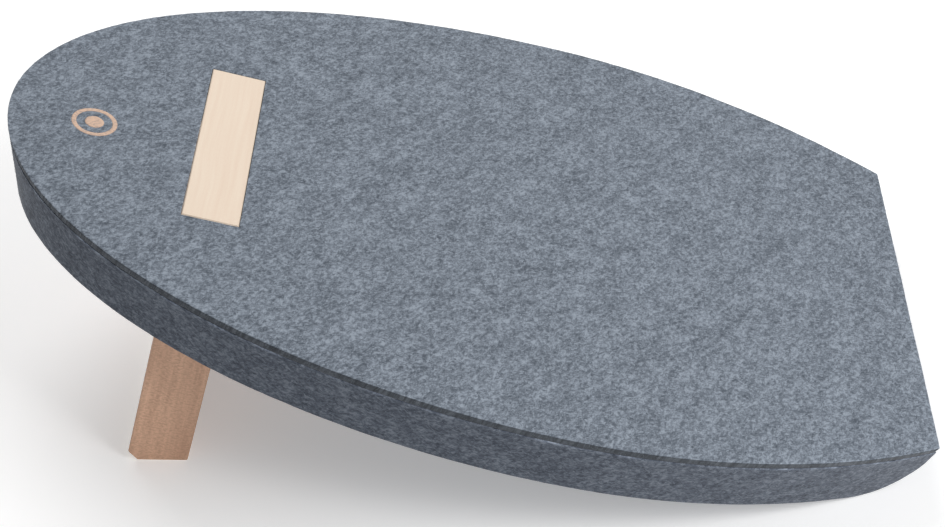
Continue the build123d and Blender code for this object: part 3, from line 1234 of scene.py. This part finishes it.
@dataclass
class BaseFelt:
    """Felt on the underside, wrapped up round the heel to the tail's upper edge.

    Attributes:
        place: where the board lies.
        plan: the board's shape.
        plank: the plank that goes in through the felt.
        top: depth at which the wrapped end stops.
        thickness: thickness of the felt.
        grip_width: width of the rubber strip let into the heel.
        grip_half_angle: half the strip's angle about the heel's centre, in radians.
        pitch: spacing of the mesh.
        seed: number that makes the felt's unevenness its own.
    """

    place: BoardPlace
    plan: BoardPlan
    plank: PlankSizes
    top: float = -0.005
    thickness: float = 0.003
    grip_width: float = 0.200
    grip_half_angle: float = math.radians(14.0)
    pitch: float = 2.0 * MILLIMETRE
    seed: float = 57.0

    @property
    def wrap_length(self) -> float:
        """Length of the felt's middle line, from the nose to its end at the tail."""
        arc = math.pi / 2 * self.plan.heel_radius
        return self.plan.heel_x + arc + (self.top - self.plan.heel_z)

    @property
    def inset(self) -> float:
        """How far the underside's outline lies inside the board's."""
        return self.thickness + self.plan.lean(-self.plan.thickness)

    @property
    def cuts(self) -> tuple[tuple[float, float, float], ...]:
        """Middle, half length and half width of the plank's opening and of the strip's."""
        grip_middle = self.plan.heel_x + self.place.tilt * self.plan.heel_radius
        half_run = self.grip_half_angle * self.plan.heel_radius
        return (
            (self.plank.middle, *self.plank.half_housing),
            (grip_middle, half_run, self.grip_width / 2),
        )

    def bent(self, run: float) -> tuple[float, float, Vector]:
        """Station, depth and outward normal of the felt's face at a length run from the nose."""
        over = run - self.plan.heel_x
        if over <= 0.0:
            return run, -self.plan.thickness, Vector((0.0, 0.0, -1.0))
        angle = over / self.plan.heel_radius
        if angle < math.pi / 2:
            x = self.plan.heel_x + self.plan.heel_radius * math.sin(angle)
            z = self.plan.heel_z - self.plan.heel_radius * math.cos(angle)
            return x, z, Vector((math.sin(angle), 0.0, -math.cos(angle)))
        up = over - math.pi / 2 * self.plan.heel_radius
        return self.plan.length, self.plan.heel_z + up, Vector((1.0, 0.0, 0.0))

    def half_width(self, run: float) -> float:
        """Half width of the felt at a length run from the nose."""
        x, z, _ = self.bent(run)
        return self.plan.edge(x, self.thickness + self.plan.lean(z))

    def off_sheet(self, run: float, y: float) -> bool:
        """Whether a place is outside the felt or in a cut-out."""
        if run < self.inset or abs(y) > self.half_width(run):
            return True
        return any(
            abs(run - middle) < half_run and abs(y) < half_width
            for middle, half_run, half_width in self.cuts
        )

    def build(self, finish: bpy.types.Material) -> bpy.types.Object:
        """Make the sheet.

        Args:
            finish: material of the felt.

        Returns:
            The finished piece.
        """
        mesh = bmesh.new()
        lay_grid(mesh, self.wrap_length, self.plan.width, self.pitch)
        cut_away(mesh, self.off_sheet)
        self.snap_boundary(mesh)
        set_lay(mesh, lambda co: (co.x, co.y))
        set_tone(mesh, lambda vert: 1.0)
        self.bend(mesh)
        bmesh.ops.recalc_face_normals(mesh, faces=mesh.faces)
        self.face_outwards(mesh)
        piece = placed_object("base_felt_cover", mesh, self.place, finish)
        wall = piece.modifiers.new("wall", "SOLIDIFY")
        wall.thickness = self.thickness - 0.05 * MILLIMETRE
        wall.offset = -1.0
        return piece

    def snap_boundary(self, mesh: bmesh.types.BMesh) -> None:
        """Move the boundary onto the outline and the cut-outs' rectangles."""
        rim = [vert for vert in mesh.verts if vert.is_boundary]
        for vert in rim:
            if self.snap_to_cut(vert) or vert.co.x > self.wrap_length - self.pitch / 2:
                widest = self.half_width(vert.co.x)
                vert.co.y = max(-widest, min(vert.co.y, widest))
            elif vert.co.x < self.plan.widest:
                vert.co.x, vert.co.y = self.plan.snap(vert.co.x, vert.co.y, self.inset)
            else:
                vert.co.y = math.copysign(self.half_width(vert.co.x), vert.co.y)

    def snap_to_cut(self, vert: bmesh.types.BMVert) -> bool:
        """Move a vert onto a cut-out's rectangle if it borders one."""
        reach = 0.75 * self.pitch
        for centre, half_x, half_y in self.cuts:
            offset = vert.co.x - centre
            if abs(offset) < half_x + reach and abs(vert.co.y) < half_y + reach:
                if abs(abs(offset) - half_x) < reach:
                    vert.co.x = centre + math.copysign(half_x, offset)
                if abs(abs(vert.co.y) - half_y) < reach:
                    vert.co.y = math.copysign(half_y, vert.co.y)
                return True
        return False

    def bend(self, mesh: bmesh.types.BMesh) -> None:
        """Wrap the flat sheet under the board and round the heel, with the felt's unevenness."""
        for vert in mesh.verts:
            run, y = vert.co.x, vert.co.y
            x, z, out = self.bent(run)
            lift = felt_relief(run, y, self.seed) - 0.1 * MILLIMETRE
            vert.co = Vector((x, y, z)) + out * lift

    def face_outwards(self, mesh: bmesh.types.BMesh) -> None:
        """Turn the faces to look away from the board."""
        total = sum(face.normal.z * face.calc_area() for face in mesh.faces)
        if total > 0.0:
            bmesh.ops.reverse_faces(mesh, faces=mesh.faces)


@dataclass
class TopMark:
    """Plain ring and dot printed near the nose.

    Attributes:
        place: where the board lies.
        felt: the felt that it is printed on, for its unevenness.
        station: nose to the ring's middle.
        offset: how far the ring stands off the board's middle line.
        radius: outer radius of the ring.
        ring_width: width of the ring.
        dot_radius: radius of the dot.
        proud: how far the ink stands over the felt.
        depth: how deep its underside lies in the felt.
    """

    place: BoardPlace
    felt: TopFelt
    station: float = 0.045
    offset: float = -0.007
    radius: float = 0.012
    ring_width: float = 2.5 * MILLIMETRE
    dot_radius: float = 0.005
    proud: float = 0.06 * MILLIMETRE
    depth: float = 0.3 * MILLIMETRE

    def build(self, ink: bpy.types.Material) -> bpy.types.Object:
        """Make the print.

        Args:
            ink: material of the ink.

        Returns:
            The finished piece.
        """
        mesh = bmesh.new()
        widths = [self.radius - self.ring_width * step / 4 for step in range(5)]
        self.bridge_circles(mesh, widths)
        dots = [self.dot_radius * step / 5 for step in range(5, 0, -1)]
        self.bridge_circles(mesh, dots)
        rim = boundary_edges(mesh)
        nearest = min(edge.verts[0].co.length for edge in rim)
        inner = [edge for edge in rim if edge.verts[0].co.length < 1.2 * nearest]
        bmesh.ops.holes_fill(mesh, edges=inner, sides=0)
        bmesh.ops.recalc_face_normals(mesh, faces=mesh.faces)
        bmesh.ops.translate(mesh, verts=mesh.verts, vec=(self.station, self.offset, 0.0))
        made = bmesh.ops.extrude_face_region(mesh, geom=list(mesh.faces))["geom"]
        upper = {item for item in made if isinstance(item, bmesh.types.BMVert)}
        for vert in mesh.verts:
            height = felt_relief(vert.co.x, vert.co.y, self.felt.seed)
            vert.co.z = height + self.proud if vert in upper else -self.depth
        bmesh.ops.recalc_face_normals(mesh, faces=mesh.faces)
        set_lay(mesh, lambda co: (co.x, co.y))
        return placed_object("top_mark_print", mesh, self.place, ink)

    @staticmethod
    def bridge_circles(mesh: bmesh.types.BMesh, radii: list[float]) -> None:
        """Join circles of these radii, each to the next."""
        loops = []
        for radius in radii:
            made = bmesh.ops.create_circle(mesh, cap_ends=False, segments=96, radius=radius)
            edges = (edge for vert in made["verts"] for edge in vert.link_edges)
            loops.append(list(dict.fromkeys(edges)))
        for outer, inner in zip(loops, loops[1:]):
            bmesh.ops.bridge_loops(mesh, edges=outer + inner)


@dataclass
class LooseFibres:
    """Stray fibres that stand out of the felt, densest along its cut edges.

    Attributes:
        count: how many fibres.
        thickness: thickness of one fibre.
        longest: length of the longest fibre.
        seed: seed of the random draws.
    """

    count: int = 5200
    thickness: float = 0.045 * MILLIMETRE
    longest: float = 3.6 * MILLIMETRE
    seed: int = 11

    def build(
        self, name: str, felt: bpy.types.Object, upward: Vector, finish: bpy.types.Material
    ) -> bpy.types.Object:
        """Scatter fibres over a felt piece.

        Args:
            name: name of the piece.
            felt: the felt piece, already in the row frame.
            upward: direction of the board's top face.
            finish: material of the fibres.

        Returns:
            One mesh that holds every fibre.
        """
        draw = random.Random(self.seed)
        faces = [face for face in felt.data.polygons if self.shows(face, upward)]
        faces.sort(key=lambda face: tuple(face.center))
        weights = [face.area * self.liking(face, upward) for face in faces]
        curve = bpy.data.curves.new(name, "CURVE")
        curve.dimensions = "3D"
        curve.bevel_depth = self.thickness / 2
        curve.bevel_resolution = 0
        curve.use_fill_caps = True
        for face in draw.choices(faces, weights, k=self.count):
            self.add_fibre(curve, draw, face.center, face.normal)
        holder = bpy.data.objects.new(name, curve)
        bpy.context.scene.collection.objects.link(holder)
        graph = bpy.context.evaluated_depsgraph_get()
        data = bpy.data.meshes.new_from_object(holder.evaluated_get(graph))
        bpy.data.objects.remove(holder)
        data.name = name
        piece = bpy.data.objects.new(name, data)
        bpy.context.scene.collection.objects.link(piece)
        data.materials.clear()
        data.materials.append(finish)
        return piece

    @staticmethod
    def shows(face: bpy.types.MeshPolygon, upward: Vector) -> bool:
        """Whether a face is on the outside, where a fibre can stand."""
        return face.normal.dot(upward) > -0.9

    @staticmethod
    def liking(face: bpy.types.MeshPolygon, upward: Vector) -> float:
        """How dense the fibres are on a face: more on cut edges than on the flat."""
        return 1.0 if face.normal.dot(upward) > 0.97 else 1.6

    def add_fibre(
        self,
        curve: bpy.types.Curve,
        draw: random.Random,
        root: Vector,
        normal: Vector,
    ) -> None:
        """Add one bent fibre that rises a little from its root and lies down again."""
        side = normal.orthogonal().normalized()
        side.rotate(Matrix.Rotation(draw.uniform(0.0, 2.0 * math.pi), 3, normal))
        other = normal.cross(side)
        length = self.longest * draw.uniform(0.35, 1.0) ** 1.5
        rise = length * draw.uniform(0.04, 0.26)
        sway = length * draw.uniform(-0.25, 0.25)
        spline = curve.splines.new("POLY")
        spline.points.add(3)
        shape = ((0.0, -0.02, 0.0), (0.35, 0.8, 0.4), (0.7, 1.0, 1.0), (1.0, 0.5, 0.9))
        start = draw.uniform(-0.5, 0.5) * MILLIMETRE
        for point, (run, up, bow) in zip(spline.points, shape):
            place = root + side * (start + run * length) + other * (bow * sway)
            point.co = (*(place + normal * (up * rise)), 1.0)


# ---------------------------------------------------------------------------------------------
# Dressing the CAD nodes
# ---------------------------------------------------------------------------------------------
class Dress(Enum):
    """Finish of each CAD node that stays as it is."""

    BEECH = "beech"
    PINE = "pine"
    PLY = "ply"
    RUBBER = "rubber"
    ZINC = "zinc"
    HONEYCOMB = "honeycomb"


DRESSED_NODES: dict[str, Dress] = {
    "leg_plank": Dress.BEECH,
    "frame_dowels": Dress.BEECH,
    "deck_panel": Dress.PLY,
    "base_panel": Dress.PLY,
    "nose_rail": Dress.PINE,
    "rail_left": Dress.PINE,
    "rail_right": Dress.PINE,
    "cross_rail_front": Dress.PINE,
    "cross_rail_rear": Dress.PINE,
    "mortise_cheek_left": Dress.PINE,
    "mortise_cheek_right": Dress.PINE,
    "stringer": Dress.PINE,
    "tail_block": Dress.PINE,
    "core_front": Dress.HONEYCOMB,
    "core_rear_left": Dress.HONEYCOMB,
    "core_rear_right": Dress.HONEYCOMB,
    "deck_screws": Dress.ZINC,
    "base_screws": Dress.ZINC,
    "heel_grip": Dress.RUBBER,
    "foot_grip": Dress.RUBBER,
}


@dataclass
class FrameParts:
    """The timber, screws, infill and rubber, which keep their CAD shapes."""

    place: BoardPlace
    finishes: dict[Dress, bpy.types.Material] = field(default_factory=dict)

    def make_finishes(self) -> None:
        """Make one material for each kind of dress."""
        beech = TimberFinish(
            "beech",
            pale=(0.80, 0.505, 0.345),
            deep=(0.61, 0.365, 0.245),
            ray=(0.45, 0.260, 0.172),
            # Tenon end grain: its own grain colour, painted paler and greyer as a highlight where
            # it faces up into the light.
            end=(0.83, 0.700, 0.565),
            place=self.place,
        )
        pine = TimberFinish(
            "pine",
            pale=(0.68, 0.50, 0.29),
            deep=(0.52, 0.32, 0.15),
            ray=(0.50, 0.31, 0.15),
            end=(0.60, 0.43, 0.24),
            place=self.place,
            along="X",
            ring=4 * MILLIMETRE,
            rays=0.1,
        )
        ply = PlyFinish("birch_ply", (0.68, 0.53, 0.36), (0.50, 0.36, 0.22), self.place)
        rubber = RubberFinish("grip_rubber", (0.018, 0.018, 0.02), (0.07, 0.07, 0.07))
        zinc = ZincFinish("zinc", (0.72, 0.71, 0.66), (0.50, 0.49, 0.45))
        honeycomb = HoneycombFinish("honeycomb", (0.46, 0.33, 0.20), (0.30, 0.21, 0.12))
        self.finishes = {
            Dress.BEECH: beech.build(),
            Dress.PINE: pine.build(),
            Dress.PLY: ply.build(),
            Dress.RUBBER: rubber.build(),
            Dress.ZINC: zinc.build(),
            Dress.HONEYCOMB: honeycomb.build(),
        }

    def dress(self, nodes: dict[str, bpy.types.Object]) -> None:
        """Give every kept CAD node its material."""
        self.make_finishes()
        for name, kind in DRESSED_NODES.items():
            node = nodes[name]
            for slot in node.material_slots:
                slot.material = self.finishes[kind]
            LOG.info("dressed %s in %s", name, kind.value)


# ---------------------------------------------------------------------------------------------
# Studio
# ---------------------------------------------------------------------------------------------
@dataclass(frozen=True)
class Lamp:
    """One soft area light, aimed at the object.

    Attributes:
        name: name of the light.
        azimuth: degrees round from the camera's side towards the tail.
        elevation: degrees above the floor.
        distance: distance from the object.
        size: side of the square light.
        power: watts.
    """

    name: str
    azimuth: float
    elevation: float
    distance: float
    size: float
    power: float

    def build(self, target: Vector) -> None:
        """Hang the light."""
        azimuth, elevation = math.radians(self.azimuth), math.radians(self.elevation)
        out = Vector(
            (
                math.sin(azimuth) * math.cos(elevation),
                -math.cos(azimuth) * math.cos(elevation),
                math.sin(elevation),
            )
        )
        data = bpy.data.lights.new(self.name, "AREA")
        data.size = self.size
        data.energy = self.power
        lamp = bpy.data.objects.new(self.name, data)
        lamp.location = target + out * self.distance
        lamp.rotation_euler = (-out).to_track_quat("-Z", "Y").to_euler()
        bpy.context.scene.collection.objects.link(lamp)


@dataclass
class Studio:
    """Pale floor, soft light and the camera.

    Attributes:
        nose: nose point of the board, which the camera is placed from.
        from_nose: camera's place from the nose point.
        pitch: camera's downward angle, in degrees.
        yaw: camera's turn towards the tail, in degrees.
        lens: focal length in millimetres on a 36 mm sensor.
        floor_size: side of the floor.
        floor_glow: strength of the floor's own light, which keeps it near white.
        sky: strength of the light from all round.
        lamps: the area lights.
    """

    nose: Vector
    from_nose: Vector = field(default_factory=lambda: Vector((0.260, -0.902, 0.597)))
    pitch: float = 38.0
    yaw: float = -1.2
    lens: float = 78.9
    floor_size: float = 12.0
    floor_glow: float = 0.30
    sky: float = 0.185
    lamps: tuple[Lamp, ...] = (
        Lamp("key", azimuth=60.0, elevation=35.0, distance=1.6, size=0.9, power=18.5),
        Lamp("back", azimuth=-160.0, elevation=45.0, distance=1.9, size=1.4, power=25.0),
    )

    def build(self) -> None:
        """Set up the whole studio."""
        self.lay_floor()
        self.light_sky()
        for lamp in self.lamps:
            lamp.build(Vector((0.0, 0.0, 0.08)))
        self.place_camera()
        bpy.context.scene.view_settings.view_transform = "Standard"

    def lay_floor(self) -> None:
        """Lay a pale floor under the object."""
        mesh = bmesh.new()
        bmesh.ops.create_grid(mesh, x_segments=1, y_segments=1, size=self.floor_size / 2)
        data = bpy.data.meshes.new("floor")
        mesh.to_mesh(data)
        mesh.free()
        floor = bpy.data.objects.new("floor", data)
        bpy.context.scene.collection.objects.link(floor)
        nodes = NodeTree("pale_floor")
        solid = nodes.solid()
        tone = nodes.cloud(solid, 3.0, detail=2.0)
        colour = nodes.ramp(tone, [(0.0, (0.90, 0.90, 0.90)), (1.0, (0.92, 0.92, 0.92))])
        nodes.finish(colour, 0.9, Specular_IOR_Level=0.1, Emission_Strength=self.floor_glow)
        nodes.shader.inputs["Emission Color"].default_value = (1.0, 1.0, 1.0, 1.0)
        data.materials.append(nodes.material)
        floor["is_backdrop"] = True

    def light_sky(self) -> None:
        """Even white light from all round."""
        world = bpy.data.worlds.new("studio")
        world.use_nodes = True
        sky = world.node_tree.nodes["Background"]
        sky.inputs["Color"].default_value = (1.0, 1.0, 1.0, 1.0)
        sky.inputs["Strength"].default_value = self.sky
        bpy.context.scene.world = world

    def place_camera(self) -> None:
        """Place the camera and make it the scene's."""
        data = bpy.data.cameras.new("camera")
        data.lens = self.lens
        data.sensor_width = 36.0
        camera = bpy.data.objects.new("camera", data)
        pitch, yaw = math.radians(self.pitch), math.radians(self.yaw)
        forward = Vector(
            (
                math.sin(yaw) * math.cos(pitch),
                math.cos(yaw) * math.cos(pitch),
                -math.sin(pitch),
            )
        )
        camera.location = self.nose + self.from_nose
        camera.rotation_euler = forward.to_track_quat("-Z", "Y").to_euler()
        bpy.context.scene.collection.objects.link(camera)
        bpy.context.scene.camera = camera


# ---------------------------------------------------------------------------------------------
# Assembly
# ---------------------------------------------------------------------------------------------
@dataclass
class FeltCovers:
    """Every felt piece, the print and the stray fibres.

    Attributes:
        place: where the board lies.
        plan: the board's shape.
        plank: the plank that goes through the felt.
        top_share: share of the top felt's blank that is left after cutting; not used.
        under_share: share of the underside felt's blank that is left after cutting; not used.
        band_width: width of the side felt's blank; not used.
    """

    place: BoardPlace
    plan: BoardPlan
    plank: PlankSizes
    top_share: float = 0.79
    under_share: float = 0.66
    band_width: float = 0.036

    def build(self) -> None:
        """Make the felt pieces and fasten them to the board's body."""
        top_finish = FeltFinish(
            "top_felt_melange",
            dark=(0.080, 0.095, 0.118),
            middle=(0.160, 0.186, 0.223),
            light=(0.292, 0.333, 0.390),
        )
        # The side band and the underside are the same felt as the top, painted about half as
        # bright: painted shade on walls that lean in away from the light.
        shaded_side_finish = FeltFinish(
            "side_felt_painted_shade",
            dark=(0.042, 0.051, 0.070),
            middle=(0.086, 0.101, 0.130),
            light=(0.175, 0.200, 0.240),
            lay_angle=0.2,
        )
        top_material, shaded_side_material = top_finish.build(), shaded_side_finish.build()
        top = TopFelt(self.place, self.plan, self.plank)
        cover = self.fasten(top.build(top_material), "top_felt")
        rail = RailFelt(self.place, self.plan)
        band = self.fasten(rail.build(shaded_side_material), "rail_felt")
        run = self.plan.perimeter(0.0, rail.pitch)[-1][2]
        base = BaseFelt(self.place, self.plan, self.plank)
        under = self.fasten(base.build(shaded_side_material), "base_felt")
        mark = TopMark(self.place, top)
        ink = InkFinish("print_ink", ink=(0.72, 0.50, 0.37), worn=(0.42, 0.33, 0.29))
        self.fasten(mark.build(ink.build()), "top_mark")
        self.scatter(cover, band)

    def fasten(self, piece: bpy.types.Object, node: str) -> bpy.types.Object:
        """Fasten a piece to the board and let it stand for a CAD node."""
        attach(piece, "board")
        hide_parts(node)
        LOG.info("built %s with %d faces", piece.name, len(piece.data.polygons))
        return piece

    def scatter(self, cover: bpy.types.Object, band: bpy.types.Object) -> None:
        """Scatter stray fibres over the top felt and the side band."""
        upward = self.place.turn.to_3x3() @ Vector((0.0, 0.0, 1.0))
        finish = FibreFinish("stray_fibre", dark=(0.10, 0.115, 0.14), pale=(0.36, 0.39, 0.43))
        material = finish.build()
        jobs = (
            ("top_felt_fibres", cover, LooseFibres(count=5200, seed=11), "top_felt"),
            ("rail_felt_fibres", band, LooseFibres(count=2600, seed=12), "side_felt"),
        )
        for name, felt, fibres, slot in jobs:
            piece = fibres.build(name, felt, upward, material)
            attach(piece, "board")
            LOG.info("built %s with %d faces", name, len(piece.data.polygons))


def write_sizes(cad_box: tuple[Vector, Vector]) -> None:
    """Turn the CAD box and the visual model's box into plain numbers, which are not written out."""
    both = {"cad": cad_box, "visual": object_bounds()}
    plain = {name: [list(corner) for corner in corners] for name, corners in both.items()}


def main() -> None:
    """Set up the studio, dress the frame and build the felt, in that order."""
    logging.basicConfig(level=logging.INFO, format="%(name)s: %(message)s")
    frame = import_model()
    cad_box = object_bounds()
    place = BoardPlace.from_frame(frame["joints"][0])
    plan = BoardPlan(place.length, place.width)
    Studio(place.nose).build()
    FrameParts(place).dress(frame["nodes"])
    FeltCovers(place, plan, PlankSizes()).build()
    write_sizes(cad_box)


if __name__ == "__main__":
    main()
